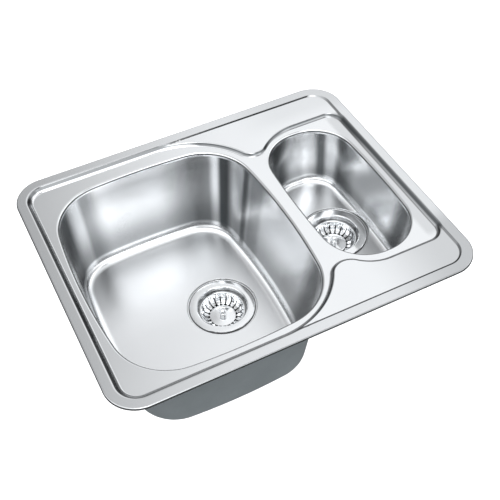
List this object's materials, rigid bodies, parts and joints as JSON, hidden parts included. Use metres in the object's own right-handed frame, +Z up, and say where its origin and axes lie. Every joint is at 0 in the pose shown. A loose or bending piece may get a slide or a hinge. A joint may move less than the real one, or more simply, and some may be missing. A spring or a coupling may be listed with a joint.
{
  "type": "inset kitchen sink",
  "caption": "Inset stainless steel sink with a main bowl beside a shallower half bowl, lift-out basket strainers and swivel clips under its rim.",
  "frame": {"origin": "centre of the rim, on the plane of the worktop that the rim rests on", "axes": "+Z up, +X along the rim towards the half bowl, +Y away from the user"},
  "size_m": [0.61, 0.5, 0.2443],
  "materials": {
    "satin_steel": "satin, fine linen grain",
    "polished_steel": "polished",
    "plated_steel": "dull zinc plate",
    "sound_coat": "sprayed, flat grey",
    "seal_foam": "closed cell foam",
    "black_rubber": "moulded",
    "fibre_washer": "pressed fibre board",
    "nut_plastic": "moulded, fine matt"
  },
  "bodies": {
    "sink": {"pressed_top": "satin_steel", "main_bowl": "satin_steel", "half_bowl": "satin_steel", "main_bowl_coat": "sound_coat", "half_bowl_coat": "sound_coat", "rim_seal": "seal_foam", "clip_screws": "plated_steel", "front_clip_rail": "plated_steel", "right_clip_rail": "plated_steel", "back_clip_rail": "plated_steel", "left_clip_rail": "plated_steel", "main_strainer_body": "polished_steel", "main_outlet_tail": "plated_steel", "main_flange_seal": "seal_foam", "main_rubber_washer": "black_rubber", "main_friction_washer": "fibre_washer", "main_lock_nut": "nut_plastic", "half_strainer_body": "polished_steel", "half_outlet_tail": "plated_steel", "half_flange_seal": "seal_foam", "half_rubber_washer": "black_rubber", "half_friction_washer": "fibre_washer", "half_lock_nut": "nut_plastic"},
    "main_plug": {"main_rod": "polished_steel", "main_knob": "polished_steel", "main_stopper": "black_rubber"},
    "main_basket_turn": {"main_basket": "polished_steel"},
    "half_plug": {"half_rod": "polished_steel", "half_knob": "polished_steel", "half_stopper": "black_rubber"},
    "half_basket_turn": {"half_basket": "polished_steel"},
    "front_first_clip": {"front_first_clip_arm": "plated_steel"},
    "front_second_clip": {"front_second_clip_arm": "plated_steel"},
    "right_first_clip": {"right_first_clip_arm": "plated_steel"},
    "right_second_clip": {"right_second_clip_arm": "plated_steel"},
    "back_first_clip": {"back_first_clip_arm": "plated_steel"},
    "back_second_clip": {"back_second_clip_arm": "plated_steel"},
    "left_first_clip": {"left_first_clip_arm": "plated_steel"},
    "left_second_clip": {"left_second_clip_arm": "plated_steel"}
  },
  "joints": [
    {"name": "main_basket_lift", "type": "slide", "parent": "sink", "child": "main_plug", "axis": [0, 0, 1], "range_m": [0, 0.055]},
    {"name": "main_basket_spin", "type": "hinge", "parent": "main_plug", "child": "main_basket_turn", "pos_m": [-0.041, -0.011, -0.2002], "axis": [0, 0, 1], "continuous": true},
    {"name": "half_basket_lift", "type": "slide", "parent": "sink", "child": "half_plug", "axis": [0, 0, 1], "range_m": [0, 0.055]},
    {"name": "half_basket_spin", "type": "hinge", "parent": "half_plug", "child": "half_basket_turn", "pos_m": [0.1905, 0.005, -0.1462], "axis": [0, 0, 1], "continuous": true},
    {"name": "front_first_clip_swing", "type": "hinge", "parent": "sink", "child": "front_first_clip", "pos_m": [-0.1, -0.233, -0.0116], "axis": [0, 0, -1], "range_deg": [0, 90]},
    {"name": "front_second_clip_swing", "type": "hinge", "parent": "sink", "child": "front_second_clip", "pos_m": [0.1, -0.233, -0.0116], "axis": [0, 0, 1], "range_deg": [0, 90]},
    {"name": "right_first_clip_swing", "type": "hinge", "parent": "sink", "child": "right_first_clip", "pos_m": [0.288, -0.145, -0.0116], "axis": [0, 0, -1], "range_deg": [0, 90]},
    {"name": "right_second_clip_swing", "type": "hinge", "parent": "sink", "child": "right_second_clip", "pos_m": [0.288, 0.145, -0.0116], "axis": [0, 0, 1], "range_deg": [0, 90]},
    {"name": "back_first_clip_swing", "type": "hinge", "parent": "sink", "child": "back_first_clip", "pos_m": [0.1, 0.233, -0.0116], "axis": [0, 0, -1], "range_deg": [0, 90]},
    {"name": "back_second_clip_swing", "type": "hinge", "parent": "sink", "child": "back_second_clip", "pos_m": [-0.1, 0.233, -0.0116], "axis": [0, 0, 1], "range_deg": [0, 90]},
    {"name": "left_first_clip_swing", "type": "hinge", "parent": "sink", "child": "left_first_clip", "pos_m": [-0.288, 0.145, -0.0116], "axis": [0, 0, -1], "range_deg": [0, 90]},
    {"name": "left_second_clip_swing", "type": "hinge", "parent": "sink", "child": "left_second_clip", "pos_m": [-0.288, -0.145, -0.0116], "axis": [0, 0, 1], "range_deg": [0, 90]}
  ]
}
